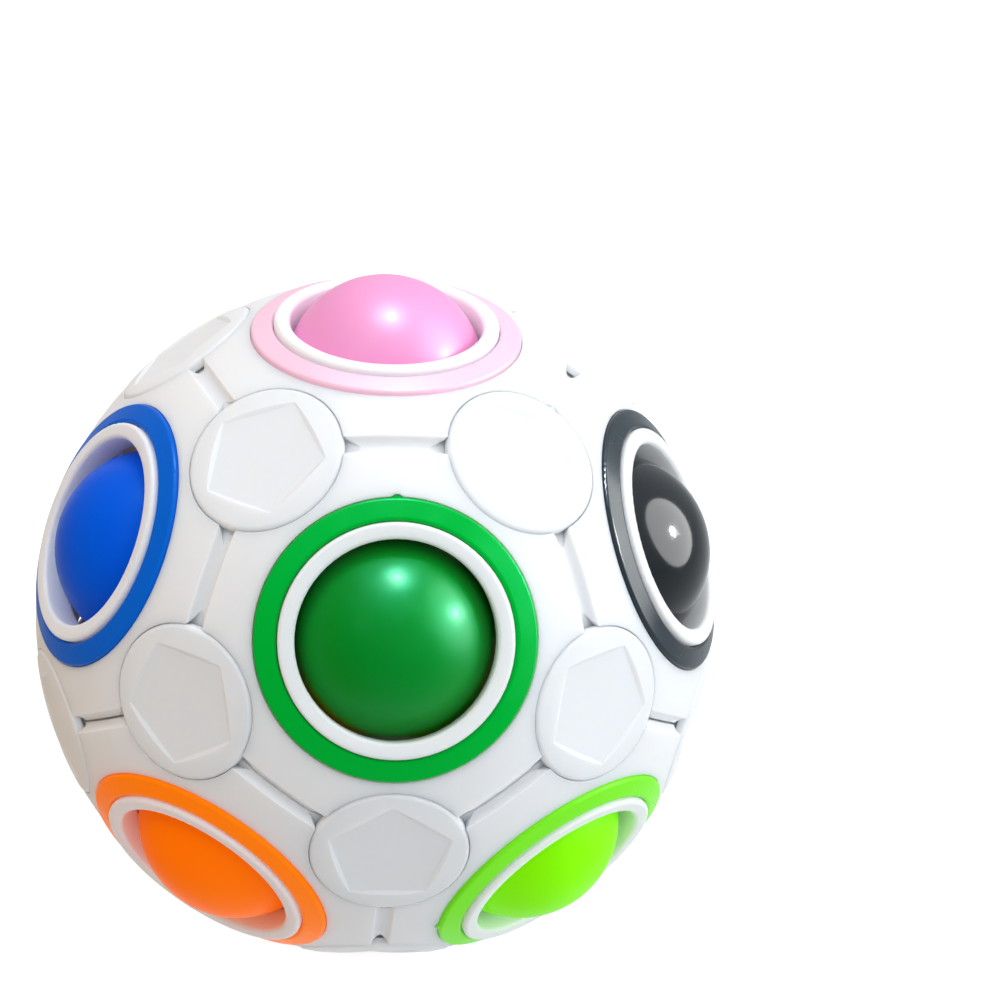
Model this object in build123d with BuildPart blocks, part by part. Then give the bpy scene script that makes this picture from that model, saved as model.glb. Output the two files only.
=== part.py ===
from build123d import *
import os
from itertools import combinations
from math import asin, atan, cos, degrees, radians, sin, sqrt, tan

# A rainbow puzzle ball: a hollow shell with twelve round holes and eleven captive balls.
# Millimetres, +Z up. The ball stands on the flat collar of its lowest hole: the origin is on
# the surface it stands on, under its centre.
# A "height" below is a distance from the ball's centre along a hole's or a cap's own axis.

# Shell
SHELL_RADIUS = 35.0
SHELL_INNER_RADIUS = 32.4

# Holes: the shell's own collar round each hole, and the coloured ring pressed in round it
HOLE_RADIUS = 9.55
COLLAR_RADIUS = 11.15
COLLAR_ROOT = 32.0
COLLAR_HEIGHT = 33.85
COLLAR_ROUND = 0.35
RING_INNER_RADIUS = 11.2
RING_RADIUS = 13.38
RING_FLOOR = 31.4
RING_CROWN_RADIUS = 35.3
RING_ROUND = 0.35
RING_POCKET_RADIUS = 13.43
NUB_RADIUS = 0.6
NUB_STATION = 13.02
NUB_TOP = 32.5
NUB_GAP = 0.08

# Captive balls, and the loose hollow core that keeps them near the shell
BALL_RADIUS = 10.0
BALL_OUT = 27.95
BALL_IN = 22.2
SEAT_GAP = 0.08
FLOOR_GAP = 0.05
CORE_RADIUS = 11.8
CORE_WALL = 1.8
CORE_LAP = 1.5
CORE_LAP_GAP = 0.05

# Round caps with a flat pentagon sunk in their faces, one where every three holes meet
CAP_RADIUS = 7.7
CAP_CROWN_RADIUS = 35.12
CAP_BOTTOM = 33.35
CAP_ROUND = 0.5
CAP_POCKET_RADIUS = 7.76
CAP_POCKET_FLOOR = 33.3
CAP_POCKET_BREAK = 0.1
PENTAGON_RADIUS = 6.1
PENTAGON_FLOOR = 34.47
PENTAGON_SLOPE = 60

# Grooves between the caps, and the shell's parting gap at the bottom of ten of them
GROOVE_WIDTH = 1.7
GROOVE_DEPTH = 0.7
GROOVE_RADIUS = (GROOVE_WIDTH**2 / 4 + GROOVE_DEPTH**2) / (2 * GROOVE_DEPTH)
GROOVE_BREAK = 0.1
GROOVE_END = 7.0
NOTCH_WIDTH = 2.0
NOTCH_LENGTH = 1.5
NOTCH_FLOOR = 33.05
PARTING_GAP = 0.25
PARTING_GAP_FLOOR = 33.5

# Screwed joints of the two shell halves, under the ten caps on the parting line
TAB_RADIUS = 6.85
TAB_BOTTOM = 32.2
BOSS_RADIUS = 8.6
BOSS_TOP = 32.15
BOSS_SIDE = ((BOSS_RADIUS, 31.3), (5.0, 30.7), (2.0, 29.5))
FIT_GAP = 0.1
PILOT_RADIUS = 0.75
PILOT_FLOOR = 29.8
CLEARANCE_RADIUS = 1.05
SINK_RADIUS = 1.7
SCREW_HEAD_RADIUS = 1.6
SCREW_TOP = 33.27
RECESS_WIDTH = 0.4
RECESS_LENGTH = 1.7
RECESS_DEPTH = 0.5

# Outer edges of the rings' pockets are broken by a small bevel
EDGE_BREAK = 0.25

# Cutters start well inside the shell's wall or end well outside it
INSIDE = 20.0
OUTSIDE = 40.0

# The holes sit at the corners of an icosahedron: (turn from the front, tilt above level)
TILT = degrees(atan(0.5))
HOLES = {
    "pink": (0, 90),
    "green": (0, TILT),
    "black": (72, TILT),
    "red": (144, TILT),
    "white": (-144, TILT),
    "blue": (-72, TILT),
    "lime": (36, -TILT),
    "yellow": (108, -TILT),
    "sky": (180, -TILT),
    "purple": (-108, -TILT),
    "orange": (-36, -TILT),
    "brown": (0, -90),
}
UPPER_HOLES = ("pink", "green", "black", "red", "white", "blue")
LOWER_HOLES = tuple(name for name in HOLES if name not in UPPER_HOLES)

# Where each ball rests: its centre's distance from the ball's centre. The white hole is empty.
# The brown ball is pushed in by the surface, and the red one is pushed in, ready to roll over.
BALL_REST = {
    "pink": BALL_OUT,
    "green": 27.0,
    "black": 27.0,
    "red": BALL_IN,
    "blue": 26.6,
    "lime": 26.95,
    "yellow": 27.1,
    "sky": 27.3,
    "purple": 27.0,
    "orange": 26.95,
    "brown": COLLAR_HEIGHT - BALL_RADIUS - FLOOR_GAP,
}

# Each ring's gate nub points from its own hole toward this one
NUB_TOWARD = {
    "pink": "red",
    "green": "pink",
    "black": "red",
    "red": "sky",
    "white": "pink",
    "blue": "purple",
    "lime": "orange",
    "yellow": "brown",
    "sky": "red",
    "purple": "white",
    "orange": "brown",
    "brown": "sky",
}

CENTRE = Vector(0, 0, COLLAR_HEIGHT)


def hole_direction(name):
    turn, tilt = (radians(angle) for angle in HOLES[name])
    return Vector(sin(turn) * cos(tilt), -cos(turn) * cos(tilt), sin(tilt))


def are_neighbours(one, other):
    return one != other and hole_direction(one).dot(hole_direction(other)) > 0


EDGES = [pair for pair in combinations(HOLES, 2) if are_neighbours(*pair)]
CORNERS = [
    trio for trio in combinations(HOLES, 3)
    if all(are_neighbours(*pair) for pair in combinations(trio, 2))
]


def upper_count(names):
    return sum(name in UPPER_HOLES for name in names)


# The parting line zigzags round the ball, along ten grooves and under ten caps
PARTING_EDGES = [pair for pair in EDGES if upper_count(pair) == 1]
PARTING_CORNERS = [trio for trio in CORNERS if upper_count(trio) in (1, 2)]


def middle_direction(names):
    total = Vector(0, 0, 0)
    for name in names:
        total = total + hole_direction(name)
    return total.normalized()


CORNER_ANGLE = hole_direction("pink").get_angle(middle_direction(CORNERS[0]))
HALF_EDGE_ANGLE = middle_direction(EDGES[0]).get_angle(middle_direction(CORNERS[0]))


def station(axis, toward):
    """Plane through the ball's centre, across an axis, with X leaning toward a direction."""
    return Plane(origin=CENTRE, x_dir=toward - axis * toward.dot(axis), z_dir=axis)


def hole_station(name, toward=None):
    toward = toward or next(other for other in HOLES if are_neighbours(name, other))
    return station(hole_direction(name), hole_direction(toward))


def corner_station(trio):
    """A cap's plane, with X leaning toward the hole alone in its half, or the top or bottom one."""
    alone = [name for name in trio if upper_count(trio) == (1 if name in UPPER_HOLES else 2)]
    at_pole = [name for name in trio if name in ("pink", "brown")]
    return station(middle_direction(trio), hole_direction((alone + at_pole)[0]))


def meridian(place):
    """Plane of a turned profile: X is the radius from the station's axis, Y is the height."""
    return Plane(origin=CENTRE, x_dir=place.x_dir, z_dir=-place.y_dir)


def height_on(sphere_radius, radius):
    """Height at which a sphere about the centre is this far from the axis."""
    return sqrt(sphere_radius**2 - radius**2)


def turned(place, points, rounded=(), round_radius=0.0, arc=360):
    """Solid turned about a station's axis from (radius, height) points, some corners rounded."""
    with BuildPart() as solid:
        with BuildSketch(meridian(place)) as profile:
            with BuildLine():
                Polyline(*points, close=True)
            make_face()
            corners = [profile.vertices().sort_by_distance((*point, 0))[0] for point in rounded]
            if corners:
                fillet(corners, round_radius)
        revolve(axis=Axis(CENTRE, place.z_dir), revolution_arc=arc)
    return solid.part


def post(place, radius, bottom, top, out=0.0):
    """Round post along a station's axis, moved out along its X."""
    with BuildPart() as solid:
        with BuildSketch(place.offset(bottom)):
            with Locations((out, 0)):
                Circle(radius)
        extrude(amount=top - bottom)
    return solid.part


def save(solid, name):
    solid.label = name
    export_step(solid, f"parts/{name}.step")
    print(f"{name}: {len(solid.solids())} solid, {solid.volume:.1f} mm3")


# ---------------------------------------------------------------- the shell, before it is parted

def collar(name):
    return turned(hole_station(name), [
        (HOLE_RADIUS - 1, COLLAR_ROOT), (COLLAR_RADIUS, COLLAR_ROOT),
        (COLLAR_RADIUS, COLLAR_HEIGHT), (HOLE_RADIUS - 1, COLLAR_HEIGHT),
    ])


def hole_cutter(name):
    """The bore, the collar's rounded lip and the pocket of the coloured ring."""
    lip = [(HOLE_RADIUS, COLLAR_HEIGHT), (COLLAR_RADIUS, COLLAR_HEIGHT)]
    edge = height_on(SHELL_RADIUS, RING_POCKET_RADIUS)
    bevelled = RING_POCKET_RADIUS + EDGE_BREAK
    return turned(hole_station(name), [
        (0, INSIDE), (HOLE_RADIUS, INSIDE), *lip, (COLLAR_RADIUS, RING_FLOOR),
        (RING_POCKET_RADIUS, RING_FLOOR), (RING_POCKET_RADIUS, edge - EDGE_BREAK / 2),
        (bevelled, edge + EDGE_BREAK / 2), (bevelled, OUTSIDE), (0, OUTSIDE),
    ], rounded=lip, round_radius=COLLAR_ROUND)


def nub_cutter(name):
    place = hole_station(name, NUB_TOWARD[name])
    return post(place, NUB_RADIUS + NUB_GAP, RING_FLOOR, OUTSIDE, NUB_STATION)


def seat_cutter(name):
    """Hollow that a ball, pushed fully out, sits in against the inner edge of its hole."""
    with BuildPart() as solid:
        with Locations(CENTRE + hole_direction(name) * BALL_OUT):
            Sphere(BALL_RADIUS + SEAT_GAP)
    return solid.part


def cap_cutter(trio):
    edge = height_on(SHELL_RADIUS, CAP_POCKET_RADIUS)
    bevelled = CAP_POCKET_RADIUS + CAP_POCKET_BREAK
    return turned(corner_station(trio), [
        (0, CAP_POCKET_FLOOR), (CAP_POCKET_RADIUS, CAP_POCKET_FLOOR),
        (CAP_POCKET_RADIUS, edge - CAP_POCKET_BREAK), (bevelled, edge),
        (bevelled, OUTSIDE), (0, OUTSIDE),
    ])


def arc_start(pair, end_station):
    """Station and half-angle of an arc between two holes that stops short of its two caps."""
    reach = HALF_EDGE_ANGLE - degrees(asin(end_station / SHELL_RADIUS))
    normal = (hole_direction(pair[0]) - hole_direction(pair[1])).normalized()
    middle = middle_direction(pair)
    start = middle * cos(radians(reach)) - normal.cross(middle) * sin(radians(reach))
    return station(normal, start), reach


def groove_cutter(pair):
    """Round-bottomed channel with broken edges, from under one cap to the next."""
    place, reach = arc_start(pair, GROOVE_END)
    side = GROOVE_WIDTH / 2
    flare = [(SHELL_RADIUS - GROOVE_BREAK, side), (SHELL_RADIUS + GROOVE_BREAK, side + GROOVE_BREAK * 2)]
    other_flare = [(radius, -out) for radius, out in reversed(flare)]
    with BuildPart() as solid:
        with BuildSketch(meridian(place)):
            with Locations((SHELL_RADIUS - GROOVE_DEPTH + GROOVE_RADIUS, 0)):
                Circle(GROOVE_RADIUS)
            Polygon(*flare, *other_flare, align=None)
        revolve(axis=Axis(CENTRE, place.z_dir), revolution_arc=2 * reach)
    return solid.part


def parting_gap_cutter(pair):
    """Thin slot in a groove's floor, where the two halves' edges stay apart."""
    place, reach = arc_start(pair, CAP_POCKET_RADIUS)
    side = PARTING_GAP / 2
    return turned(place, [
        (PARTING_GAP_FLOOR, side), (SHELL_RADIUS, side),
        (SHELL_RADIUS, -side), (PARTING_GAP_FLOOR, -side),
    ], arc=2 * reach)


def notch_cutter(trio, pair):
    """Three-cornered notch where a groove runs in under a cap, narrowing away from the cap."""
    place = station(middle_direction(trio), middle_direction(pair))
    tip = CAP_POCKET_RADIUS + NOTCH_LENGTH
    spread = NOTCH_WIDTH / 2 * (tip - GROOVE_END) / NOTCH_LENGTH
    with BuildPart() as solid:
        with BuildSketch(place.offset(NOTCH_FLOOR)):
            Polygon((GROOVE_END, -spread), (tip, 0), (GROOVE_END, spread), align=None)
        extrude(amount=OUTSIDE - NOTCH_FLOOR)
    return solid.part


collars = [collar(name) for name in HOLES]
cutter_groups = [
    [hole_cutter(name) for name in HOLES],
    [seat_cutter(name) for name in HOLES],
    [nub_cutter(name) for name in HOLES],
    [cap_cutter(trio) for trio in CORNERS],
    [groove_cutter(pair) for pair in EDGES],
    [notch_cutter(trio, pair) for trio in CORNERS for pair in combinations(trio, 2)],
    [parting_gap_cutter(pair) for pair in PARTING_EDGES],
]

with BuildPart() as whole_shell:
    with Locations(CENTRE):
        Sphere(SHELL_RADIUS)
    add(collars)
    with Locations(CENTRE):
        Sphere(SHELL_INNER_RADIUS, mode=Mode.SUBTRACT)
    for cutters in cutter_groups:
        add(cutters, mode=Mode.SUBTRACT)


# ---------------------------------------------------------------- the two halves of the shell

def sector(name):
    """Five-sided slice of space round a hole's axis, from the inside to the outside."""
    place = hole_station(name)
    with BuildPart() as slice_of_space:
        for height in (INSIDE, OUTSIDE):
            with BuildSketch(place.offset(height)):
                RegularPolygon(height * tan(radians(CORNER_ANGLE)), 5, rotation=36)
        loft()
    return slice_of_space.part


def boss(trio):
    """Round boss inside the shell, on the half with one hole at this corner."""
    return turned(corner_station(trio), [
        (0, BOSS_TOP), (BOSS_RADIUS, BOSS_TOP), *BOSS_SIDE, (0, BOSS_SIDE[-1][1]),
    ])


def tab(trio):
    """Round end of the half with two holes at this corner, which lies on the boss."""
    return post(corner_station(trio), TAB_RADIUS, TAB_BOTTOM, CAP_POCKET_FLOOR)


def boss_room(trio):
    return post(corner_station(trio), BOSS_RADIUS + FIT_GAP, INSIDE, TAB_BOTTOM)


def tab_room(trio):
    return post(corner_station(trio), TAB_RADIUS + FIT_GAP, TAB_BOTTOM, CAP_POCKET_FLOOR)


def screw_hole(trio):
    """Clearance hole through the tab, countersunk."""
    sink_depth = SINK_RADIUS - CLEARANCE_RADIUS
    return turned(corner_station(trio), [
        (0, INSIDE), (CLEARANCE_RADIUS, INSIDE),
        (CLEARANCE_RADIUS, CAP_POCKET_FLOOR - sink_depth), (SINK_RADIUS, CAP_POCKET_FLOOR),
        (0, CAP_POCKET_FLOOR),
    ])


def pilot_hole(trio):
    return post(corner_station(trio), PILOT_RADIUS, PILOT_FLOOR, BOSS_TOP)


def shell_half(names):
    """One half of the shell: its six sectors, with a tab or a boss at each shared corner."""
    sectors = [sector(name) for name in names]
    with_tab = [trio for trio in PARTING_CORNERS if sum(name in names for name in trio) == 2]
    with_boss = [trio for trio in PARTING_CORNERS if trio not in with_tab]
    rooms = [boss_room(trio) for trio in with_tab] + [tab_room(trio) for trio in with_boss]
    joints = [tab(trio) for trio in with_tab] + [boss(trio) for trio in with_boss]
    holes = [screw_hole(trio) for trio in with_tab] + [pilot_hole(trio) for trio in with_boss]
    with BuildPart() as zone:
        add(sectors)
    with BuildPart() as half:
        add(whole_shell.part)
        add(zone.part, mode=Mode.INTERSECT)
        add(rooms, mode=Mode.SUBTRACT)
        add(joints)
        add(holes, mode=Mode.SUBTRACT)
    return half.part


# ---------------------------------------------------------------- rings, caps, balls, core

def coloured_ring(name):
    """Crowned ring with rounded edges and a small gate nub on its rim."""
    place = hole_station(name)
    inner = (RING_INNER_RADIUS, height_on(RING_CROWN_RADIUS, RING_INNER_RADIUS))
    outer = (RING_RADIUS, height_on(RING_CROWN_RADIUS, RING_RADIUS))
    with BuildPart() as ring:
        with BuildSketch(meridian(place)) as profile:
            with BuildLine():
                Polyline(inner, (RING_INNER_RADIUS, RING_FLOOR), (RING_RADIUS, RING_FLOOR), outer)
                RadiusArc(outer, inner, -RING_CROWN_RADIUS)
            make_face()
            corners = [profile.vertices().sort_by_distance((*end, 0))[0] for end in (inner, outer)]
            fillet(corners, RING_ROUND)
        revolve(axis=Axis(CENTRE, place.z_dir))
        with BuildSketch(hole_station(name, NUB_TOWARD[name]).offset(RING_FLOOR)):
            with Locations((NUB_STATION, 0)):
                Circle(NUB_RADIUS)
        extrude(amount=NUB_TOP - RING_FLOOR)
    return ring.part


def corner_cap(trio):
    """Round cap, just proud of the shell, with a flat five-sided panel sunk in its face."""
    place = corner_station(trio)
    crown = (0, CAP_CROWN_RADIUS)
    rim = (CAP_RADIUS, height_on(CAP_CROWN_RADIUS, CAP_RADIUS))
    with BuildPart() as panel:
        with BuildSketch(place.offset(PENTAGON_FLOOR)):
            RegularPolygon(PENTAGON_RADIUS, 5)
        extrude(amount=CAP_CROWN_RADIUS - PENTAGON_FLOOR, taper=-PENTAGON_SLOPE)
    with BuildPart() as cap:
        with BuildSketch(meridian(place)) as profile:
            with BuildLine():
                Polyline(crown, (0, CAP_BOTTOM), (CAP_RADIUS, CAP_BOTTOM), rim)
                RadiusArc(rim, crown, -CAP_CROWN_RADIUS)
            make_face()
            fillet(profile.vertices().sort_by_distance((*rim, 0))[0], CAP_ROUND)
        revolve(axis=Axis(CENTRE, place.z_dir))
        add(panel.part, mode=Mode.SUBTRACT)
    return cap.part


def captive_ball(name):
    with BuildPart() as ball:
        with Locations(CENTRE + hole_direction(name) * BALL_REST[name]):
            Sphere(BALL_RADIUS)
    return ball.part


def core_half(up):
    """Half of the hollow core. The lower half's wall has a spigot that plugs into the upper."""
    place = Plane(origin=CENTRE, x_dir=(1, 0, 0), z_dir=(0, 0, up))
    bore = CORE_RADIUS - CORE_WALL
    joint_radius = CORE_RADIUS - CORE_WALL / 2
    spigot = [(0, 0), (joint_radius, 0), (joint_radius, CORE_LAP), (0, CORE_LAP)]
    socket = [(0, 0), (joint_radius + CORE_LAP_GAP, 0),
              (joint_radius + CORE_LAP_GAP, CORE_LAP + CORE_LAP_GAP), (0, CORE_LAP + CORE_LAP_GAP)]
    add_on = turned(Plane(origin=CENTRE, x_dir=(1, 0, 0), z_dir=(0, 0, 1)), spigot)
    cut_out = turned(place, socket)
    with BuildPart() as half:
        with BuildSketch(meridian(place)):
            Circle(CORE_RADIUS)
            with Locations((CORE_RADIUS / 2, CORE_RADIUS / 2)):
                Rectangle(CORE_RADIUS, CORE_RADIUS, mode=Mode.INTERSECT)
        revolve(axis=Axis(CENTRE, place.z_dir))
        if up > 0:
            add(cut_out, mode=Mode.SUBTRACT)
        else:
            add(add_on)
        with Locations(CENTRE):
            Sphere(bore, mode=Mode.SUBTRACT)
    return half.part


def screw(trio):
    """Small countersunk self-tapping screw with a cross recess."""
    place = corner_station(trio)
    neck = SCREW_TOP - (SCREW_HEAD_RADIUS - PILOT_RADIUS)
    tip = PILOT_FLOOR + PILOT_RADIUS / 2
    with BuildPart() as fastener:
        with BuildSketch(meridian(place)):
            with BuildLine():
                Polyline((0, SCREW_TOP), (SCREW_HEAD_RADIUS, SCREW_TOP), (PILOT_RADIUS, neck),
                         (PILOT_RADIUS, tip), (PILOT_RADIUS / 2, PILOT_FLOOR), (0, PILOT_FLOOR),
                         close=True)
            make_face()
        revolve(axis=Axis(CENTRE, place.z_dir))
        with BuildSketch(place.offset(SCREW_TOP)):
            Rectangle(RECESS_LENGTH, RECESS_WIDTH)
            Rectangle(RECESS_WIDTH, RECESS_LENGTH)
        extrude(amount=-RECESS_DEPTH, mode=Mode.SUBTRACT)
    return fastener.part


os.makedirs("parts", exist_ok=True)
save(shell_half(UPPER_HOLES), "upper_shell")
save(shell_half(LOWER_HOLES), "lower_shell")
for hole in HOLES:
    save(coloured_ring(hole), f"{hole}_ring")
for hole in BALL_REST:
    save(captive_ball(hole), f"{hole}_ball")
for corner in CORNERS:
    save(corner_cap(corner), "cap_" + "_".join(corner))
save(core_half(1), "core_upper_half")
save(core_half(-1), "core_lower_half")

all_screws = [screw(corner) for corner in PARTING_CORNERS]
with BuildPart() as assembly_screws:
    add(all_screws)
save(assembly_screws.part, "assembly_screws")
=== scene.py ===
"""Looks for the rainbow puzzle ball: moulded plastics, studio light and the photograph's camera.

Metres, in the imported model's frame: +Z up, the ball stands at the origin.
"""
from math import cos, pi, radians, sin

import bpy
from mathutils import Matrix, Vector


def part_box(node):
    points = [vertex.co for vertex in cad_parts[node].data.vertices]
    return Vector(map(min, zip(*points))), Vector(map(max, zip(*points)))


MM = 0.001

# The photograph's camera, as seen from the ball's centre
CAMERA_AZIMUTH = -4.28
CAMERA_ELEVATION = 30.38
CAMERA_ROLL = 2.54
CAMERA_DISTANCE = 0.3194
CAMERA_LENS = 110.4
CAMERA_SHIFT = (0.1263, 0.1169)

# Studio. A lamp's or card's brightness is its radiance, where 1 shows a white surface as white.
FLOOR_RADIUS = 4.0
FLOOR_COLOUR = (0.32, 0.32, 0.32)
FLOOR_GLOW = 0.86
POLE_COLOUR = (1.16, 1.19, 1.25)
HORIZON_COLOUR = (0.50, 0.54, 0.56)
WARM_COLOUR = (0.45, 0.27, 0.11)
WARM_DIRECTION = (-0.97, 0.05, -0.10)
WARM_EDGE = (0.15, 0.95)
GLOSS_ONLY = {"round_shape": True, "lights": False}
# Name, azimuth and elevation in degrees, distance, width and height in metres, radiance, options
LAMPS = (
    ("side_box", 84, 16, 0.75, 0.76, 0.86, 1.6, {"reflects": False}),
    ("top_box", 150, 84, 0.80, 0.34, 0.34, 1.1, {"colour": (0.92, 1.0, 1.04), "reflects": False}),
    ("upper_left_fill", -64, 58, 0.80, 0.40, 0.40, 2.4, {"colour": (0.95, 1.0, 1.05), "reflects": False}),
    ("side_sheen", 84, 26, 0.74, 0.80, 0.90, 8.6, GLOSS_ONLY),
    ("top_sheen", 150, 84, 0.79, 0.40, 0.40, 9.0, {"colour": (0.80, 1.0, 1.35), **GLOSS_ONLY}),
    ("side_glint", 84, 25, 0.73, 0.08, 0.08, 480.0, GLOSS_ONLY),
    ("top_glint", 150, 84, 0.78, 0.09, 0.09, 620.0, GLOSS_ONLY),
    ("left_glint", -46, 35, 0.80, 0.03, 0.16, 12.0, GLOSS_ONLY),
)

# Colours in linear light: each hole's ball and ring. The white hole has no ball.
COLOURS = {
    "pink": ((0.900, 0.330, 0.620), (0.960, 0.600, 0.740)),
    "green": ((0.000, 0.235, 0.012), (0.000, 0.430, 0.030)),
    "black": ((0.010, 0.014, 0.017), (0.018, 0.031, 0.040)),
    "red": ((0.620, 0.006, 0.010), (0.680, 0.010, 0.014)),
    "blue": ((0.000, 0.098, 0.740), (0.002, 0.125, 0.640)),
    "lime": ((0.250, 0.960, 0.001), (0.200, 0.830, 0.020)),
    "yellow": ((0.950, 0.620, 0.004), (0.950, 0.650, 0.010)),
    "sky": ((0.060, 0.420, 0.780), (0.120, 0.500, 0.800)),
    "purple": ((0.120, 0.012, 0.330), (0.160, 0.020, 0.380)),
    "orange": ((1.000, 0.165, 0.001), (1.000, 0.200, 0.003)),
    "brown": ((0.110, 0.030, 0.008), (0.150, 0.042, 0.012)),
    "white": (None, (0.800, 0.810, 0.820)),
}
# How strongly a coloured plastic reflects and is lacquered, and the painted glow (emission in its own
# colour) on the brightest.
# The tables keyed True and False hold a dark plastic's value and any other's.
MIRROR = {"black": 0.30, "pink": 0.20, "blue": 0.06, "orange": 0.05, "lime": 0.06, "green": 0.30}
USUAL_MIRROR = 0.2
COAT = {"black": 0.0, "pink": 0.06, "green": 0.09, "blue": 0.05, "orange": 0.02, "lime": 0.02}
USUAL_COAT = 0.12
PAINTED_GLOW = {"orange": 0.22, "lime": 0.05, "yellow": 0.06}
DARK_LIMIT = 0.1
RING_MIRROR_LIMIT = 0.22
COAT_ROUGHNESS = 0.27
BALL_ROUGHNESS = {True: 0.10, False: 0.44}
RING_ROUGHNESS = {True: 0.24, False: 0.36}
BALL_WEAR = {True: 0.16, False: 0.05}
SHELL_COLOUR = (0.850, 0.860, 0.870)
SHELL_FINISH = {"roughness": 0.50, "coat": 0.0, "mirror": 0.08, "mottle": 0.004, "peel": 0.003,
                "grain": 0.0006, "glow": 0.85, "wear": 0.0, "spread": 0.08}
HOLLOW_REACH = 1.6 * MM
HOLLOW_SHADE = 0.86
CORE_COLOUR = (0.520, 0.520, 0.510)

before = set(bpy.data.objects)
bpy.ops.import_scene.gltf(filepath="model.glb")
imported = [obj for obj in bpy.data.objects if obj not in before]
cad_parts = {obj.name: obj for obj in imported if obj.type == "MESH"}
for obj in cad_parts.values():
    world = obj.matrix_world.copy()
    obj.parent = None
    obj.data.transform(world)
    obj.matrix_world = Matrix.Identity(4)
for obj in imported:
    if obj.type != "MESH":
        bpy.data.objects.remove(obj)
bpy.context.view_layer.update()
BALL_CENTRE = Vector((0, 0, (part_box("upper_shell")[1].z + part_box("lower_shell")[0].z) / 2))


class Nodes:
    """Small helper for building one material's node tree."""

    def __init__(self, name):
        self.material = bpy.data.materials.new(name)
        self.material.use_nodes = True
        self.tree = self.material.node_tree
        self.shader = self.tree.nodes["Principled BSDF"]
        self.place = self.add("ShaderNodeTexCoord").outputs["Object"]

    def add(self, kind, links=None, values=None, **settings):
        made = self.tree.nodes.new(kind)
        for key, value in settings.items():
            setattr(made, key, value)
        for key, value in (values or {}).items():
            made.inputs[key].default_value = value
        for key, source in (links or {}).items():
            self.tree.links.new(source, made.inputs[key])
        return made

    def noise(self, size, detail=2.0, roughness=0.5, place=None):
        """Noise with features about this many metres across."""
        made = self.add("ShaderNodeTexNoise", {"Vector": place or self.place},
                        {"Scale": 1 / size, "Detail": detail, "Roughness": roughness})
        return made.outputs["Fac"]

    def fit(self, source, low, high, new_low, new_high):
        made = self.add("ShaderNodeMapRange", {"Value": source},
                        {"From Min": low, "From Max": high, "To Min": new_low, "To Max": new_high})
        return made.outputs["Result"]

    def maths(self, operation, one, other):
        made = self.add("ShaderNodeMath", operation=operation)
        for socket, value in zip(made.inputs, (one, other)):
            if isinstance(value, (int, float)):
                socket.default_value = value
            else:
                self.tree.links.new(value, socket)
        return made.outputs["Value"]

    def bump(self, height, depth, normal=None):
        """Bump of this depth in metres, from a height between 0 and 1."""
        links = {"Height": height}
        if normal:
            links["Normal"] = normal
        made = self.add("ShaderNodeBump", links, {"Strength": 1.0, "Distance": depth})
        return made.outputs["Normal"]

    def set(self, **values):
        for key, value in values.items():
            self.shader.inputs[key.replace("_", " ")].default_value = value

    def link(self, socket, source):
        self.tree.links.new(source, self.shader.inputs[socket])


def mottled(nodes, colour, amount):
    """Colour that drifts slightly lighter and darker over a few millimetres."""
    drift = nodes.fit(nodes.noise(9 * MM, 3.0), 0.3, 0.7, 0.0, 1.0)
    made = nodes.add("ShaderNodeMix", {"Factor": drift}, data_type="RGBA")
    made.inputs[6].default_value = (*[channel * (1 - amount) for channel in colour], 1)
    made.inputs[7].default_value = (*[min(1.0, channel * (1 + amount)) for channel in colour], 1)
    return made.outputs[2]


def scratches(nodes, spacing, share):
    """1 on a few fine hairlines, 0 between them."""
    bent = nodes.add("ShaderNodeTexNoise", {"Vector": nodes.place},
                     {"Scale": 1 / (14 * MM), "Detail": 1.0})
    shifted = nodes.add("ShaderNodeVectorMath", {0: bent.outputs["Color"]}, {1: (0.02, 0.02, 0.02)},
                        operation="MULTIPLY")
    place = nodes.add("ShaderNodeVectorMath", {0: nodes.place, 1: shifted.outputs["Vector"]},
                      operation="ADD")
    cells = nodes.add("ShaderNodeTexVoronoi", {"Vector": place.outputs["Vector"]},
                      {"Scale": 1 / spacing}, feature="DISTANCE_TO_EDGE")
    line = nodes.fit(cells.outputs["Distance"], 0.0, 0.012, 1.0, 0.0)
    patch = nodes.fit(nodes.noise(6 * MM, 2.0), 0.62 - share, 0.70 - share, 0.0, 1.0)
    return nodes.maths("MULTIPLY", line, patch)


def shaded_hollows(nodes, colour_source):
    """Painted shade: darkens a colour where the part's own surface closes in on it, as in a groove."""
    open_share = nodes.add("ShaderNodeAmbientOcclusion", values={"Distance": HOLLOW_REACH}, samples=12,
                           only_local=True).outputs["AO"]
    shade = nodes.fit(open_share, 0.45, 1.0, HOLLOW_SHADE, 1.0)
    made = nodes.add("ShaderNodeMix", {6: colour_source, 7: shade}, {0: 1.0},
                     data_type="RGBA", blend_type="MULTIPLY")
    return made.outputs[2]


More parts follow.
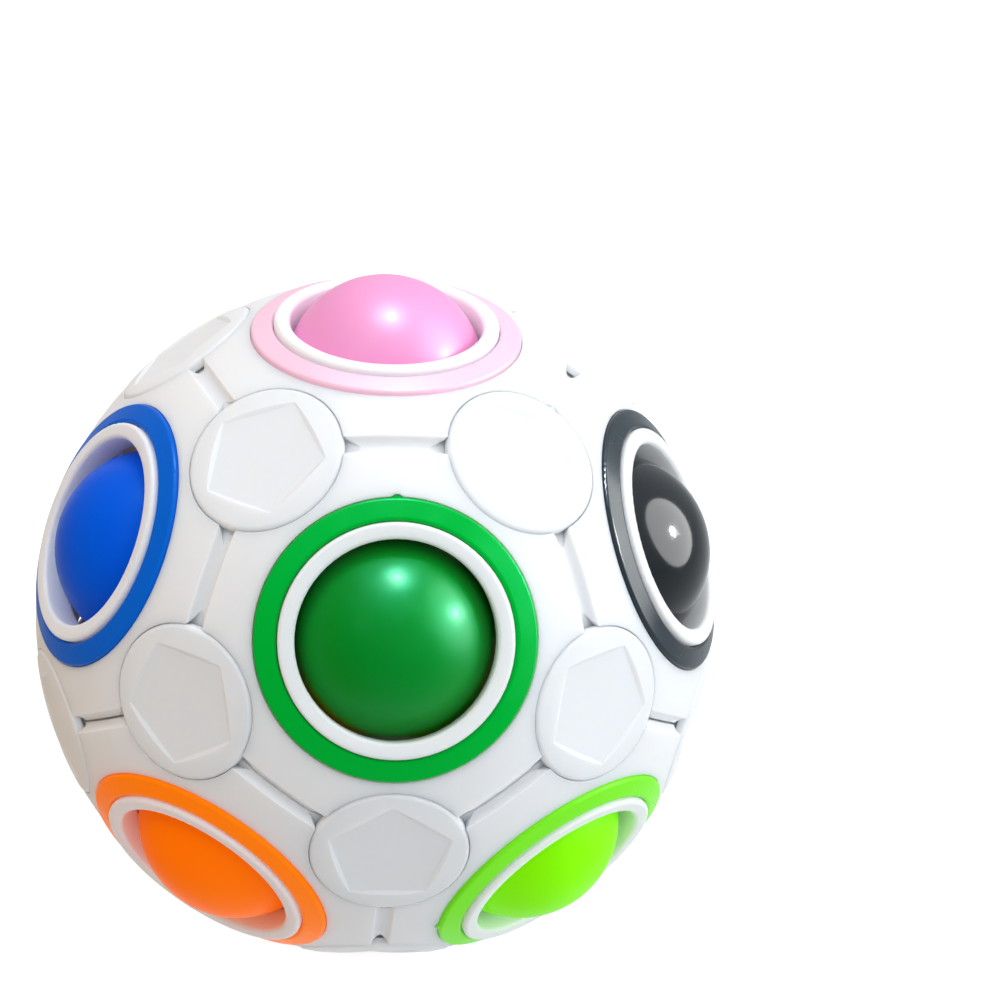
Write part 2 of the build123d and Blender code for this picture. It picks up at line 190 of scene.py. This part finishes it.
def moulded_plastic(name, colour, roughness, coat, tint=(1, 1, 1), mirror=0.5, mottle=0.02,
                    peel=0.004, grain=0.0, glow=0.0, wear=0.08, spread=0.25, painted_glow=0.0,
                    hollows=False):
    """Injection-moulded plastic: faint mottle, orange peel, hairline wear and a clear gloss, with
    optional painted glow and painted shade in hollows.
    """
    nodes = Nodes(name)
    base = mottled(nodes, colour, mottle)
    if hollows:
        # Painted shade in grooves and other hollows of the shell.
        base = shaded_hollows(nodes, base)
    nodes.link("Base Color", base)
    hairlines = scratches(nodes, 2.6 * MM, wear)
    worn = nodes.fit(nodes.noise(5 * MM, 4.0, 0.6), 0.35, 0.75, roughness * (1 - spread),
                     roughness * (1 + spread))
    rough = nodes.maths("ADD", worn, nodes.maths("MULTIPLY", hairlines, 0.12))
    nodes.link("Roughness", rough)
    normal = nodes.bump(nodes.noise(1.4 * MM, 1.0), peel * MM)
    if grain:
        normal = nodes.bump(nodes.noise(0.12 * MM, 1.0), grain * MM, normal)
    nodes.link("Normal", normal)
    nodes.set(IOR=1.5, Coat_Weight=coat, Coat_Roughness=COAT_ROUGHNESS, Coat_IOR=1.5,
              Subsurface_Weight=glow, Subsurface_Scale=1.6 * MM)
    nodes.set(Specular_IOR_Level=mirror, Specular_Tint=(*tint, 1), Coat_Tint=(1, 1, 1, 1))
    nodes.shader.inputs["Subsurface Radius"].default_value = (1.0, 0.85, 0.75)
    # Painted glow: emission in the plastic's own colour brightens it, though it is no lamp.
    nodes.set(Emission_Color=(*colour, 1), Emission_Strength=painted_glow)
    return nodes.material


def zinc_plate(name):
    """Bright plated steel with fine turned marks."""
    nodes = Nodes(name)
    nodes.link("Base Color", mottled(nodes, (0.60, 0.61, 0.63), 0.06))
    nodes.link("Roughness", nodes.fit(nodes.noise(0.3 * MM, 3.0), 0.3, 0.7, 0.24, 0.42))
    nodes.link("Normal", nodes.bump(nodes.noise(0.15 * MM, 2.0), 0.003 * MM))
    nodes.set(Metallic=1.0)
    return nodes.material


def is_dark(colour):
    return max(colour) < DARK_LIMIT


def gloss_tint(colour):
    """Reflections lean toward a saturated plastic's own colour, and stay white on a grey one."""
    brightest = max(colour)
    if is_dark(colour):
        return (1.0, 1.0, 1.0)
    return tuple(0.02 + 0.98 * (channel / brightest) ** 0.2 for channel in colour)


def dress(node, material):
    """Gives a CAD node its material in every slot."""
    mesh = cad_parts[node].data
    if not mesh.materials:
        mesh.materials.append(material)
    for index in range(len(mesh.materials)):
        mesh.materials[index] = material


shell_plastic = moulded_plastic("shell_plastic", SHELL_COLOUR, hollows=True, **SHELL_FINISH)
cap_plastic = moulded_plastic("cap_plastic", SHELL_COLOUR, **SHELL_FINISH)
core_plastic = moulded_plastic("core_plastic", CORE_COLOUR, 0.55, 0.0, grain=0.002)
plated_steel = zinc_plate("plated_steel")

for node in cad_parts:
    hole, _, kind = node.rpartition("_")
    if kind == "ball":
        colour = COLOURS[hole][0]
        dark = is_dark(colour)
        ball = moulded_plastic(f"{node}_plastic", colour, BALL_ROUGHNESS[dark],
                               COAT.get(hole, USUAL_COAT), tint=gloss_tint(colour),
                               mirror=MIRROR.get(hole, USUAL_MIRROR), peel=0.0015,
                               wear=BALL_WEAR[dark], painted_glow=PAINTED_GLOW.get(hole, 0.0))
        dress(node, ball)
    elif kind == "ring":
        colour = COLOURS[hole][1]
        dark = is_dark(colour)
        ring = moulded_plastic(f"{node}_plastic", colour, RING_ROUGHNESS[dark], 0.0,
                               tint=gloss_tint(colour), peel=0.002,
                               mirror=min(RING_MIRROR_LIMIT, MIRROR.get(hole, USUAL_MIRROR)),
                               painted_glow=PAINTED_GLOW.get(hole, 0.0))
        dress(node, ring)
    elif node.startswith("core_"):
        dress(node, core_plastic)
    elif node == "assembly_screws":
        dress(node, plated_steel)
    elif node.startswith("cap_"):
        dress(node, cap_plastic)
    else:
        dress(node, shell_plastic)


def soft_box(name, azimuth, elevation, distance, width, height, radiance, colour=(1, 1, 1),
             round_shape=False, lights=True, reflects=True):
    """Area light that faces the ball from an azimuth and elevation round its centre."""
    lamp = bpy.data.lights.new(name, "AREA")
    lamp.shape = "ELLIPSE" if round_shape else "RECTANGLE"
    lamp.size = width
    lamp.size_y = height
    lamp.energy = radiance * pi * width * height * (pi / 4 if round_shape else 1)
    lamp.color = colour
    holder = bpy.data.objects.new(name, lamp)
    holder.visible_diffuse = lights
    holder.visible_glossy = reflects
    turn, tilt = radians(azimuth), radians(elevation)
    away = Vector((sin(turn) * cos(tilt), -cos(turn) * cos(tilt), sin(tilt)))
    holder.location = BALL_CENTRE + away * distance
    holder.rotation_mode = "QUATERNION"
    holder.rotation_quaternion = away.to_track_quat("Z", "Y")
    bpy.context.scene.collection.objects.link(holder)


def studio_floor():
    mesh = bpy.data.meshes.new("studio_floor")
    corners = [(x * FLOOR_RADIUS, y * FLOOR_RADIUS, 0) for x, y in ((-1, -1), (1, -1), (1, 1), (-1, 1))]
    mesh.from_pydata(corners, [], [(0, 1, 2, 3)])
    floor = bpy.data.objects.new("studio_floor", mesh)
    bpy.context.scene.collection.objects.link(floor)
    nodes = Nodes("pale_floor")
    nodes.link("Base Color", mottled(nodes, FLOOR_COLOUR, 0.004))
    nodes.set(Roughness=0.7, Specular_IOR_Level=0.2, Emission_Strength=FLOOR_GLOW)
    nodes.shader.inputs["Emission Color"].default_value = (1, 1, 1, 1)
    mesh.materials.append(nodes.material)
    floor.visible_diffuse = False
    floor.visible_glossy = False


def studio_world():
    """Bright above and below, dim round the horizon and warm on one side, fixed in the world."""
    world = bpy.data.worlds.new("studio")
    world.use_nodes = True
    tree = world.node_tree
    direction = tree.nodes.new("ShaderNodeTexCoord").outputs["Generated"]
    toward = tree.nodes.new("ShaderNodeVectorMath")
    toward.operation = "DOT_PRODUCT"
    toward.inputs[1].default_value = Vector(WARM_DIRECTION).normalized()
    share = tree.nodes.new("ShaderNodeMapRange")
    share.interpolation_type = "SMOOTHSTEP"
    share.inputs["From Min"].default_value = WARM_EDGE[0]
    share.inputs["From Max"].default_value = WARM_EDGE[1]
    warmed = tree.nodes.new("ShaderNodeMix")
    warmed.data_type = "RGBA"
    warmed.inputs[7].default_value = (*WARM_COLOUR, 1)
    split = tree.nodes.new("ShaderNodeSeparateXYZ")
    steepness = tree.nodes.new("ShaderNodeMath")
    steepness.operation = "ABSOLUTE"
    whole = tree.nodes.new("ShaderNodeMix")
    whole.data_type = "RGBA"
    whole.inputs[6].default_value = (*HORIZON_COLOUR, 1)
    whole.inputs[7].default_value = (*POLE_COLOUR, 1)
    tree.links.new(direction, toward.inputs[0])
    tree.links.new(toward.outputs["Value"], share.inputs["Value"])
    tree.links.new(share.outputs["Result"], warmed.inputs["Factor"])
    tree.links.new(direction, split.inputs["Vector"])
    tree.links.new(split.outputs["Z"], steepness.inputs[0])
    tree.links.new(steepness.outputs["Value"], whole.inputs["Factor"])
    tree.links.new(whole.outputs[2], warmed.inputs[6])
    tree.links.new(warmed.outputs[2], tree.nodes["Background"].inputs["Color"])
    bpy.context.scene.world = world


def photo_camera():
    turn, tilt, roll = (radians(angle) for angle in (CAMERA_AZIMUTH, CAMERA_ELEVATION, CAMERA_ROLL))
    back = Vector((sin(turn) * cos(tilt), -cos(turn) * cos(tilt), sin(tilt)))
    right = Vector((cos(turn), sin(turn), 0))
    up = back.cross(right)
    axis_x = right * cos(roll) + up * sin(roll)
    axis_y = up * cos(roll) - right * sin(roll)
    camera = bpy.data.cameras.new("photo_camera")
    camera.lens = CAMERA_LENS
    camera.sensor_width = 36.0
    camera.shift_x, camera.shift_y = CAMERA_SHIFT
    holder = bpy.data.objects.new("photo_camera", camera)
    turned = Matrix((axis_x, axis_y, back)).transposed().to_4x4()
    holder.matrix_world = Matrix.Translation(BALL_CENTRE + back * CAMERA_DISTANCE) @ turned
    bpy.context.scene.collection.objects.link(holder)
    bpy.context.scene.camera = holder


studio_floor()
studio_world()
for name, azimuth, elevation, distance, width, height, radiance, options in LAMPS:
    soft_box(name, azimuth, elevation, distance, width, height, radiance, **options)
photo_camera()
bpy.context.scene.view_settings.view_transform = "Standard"
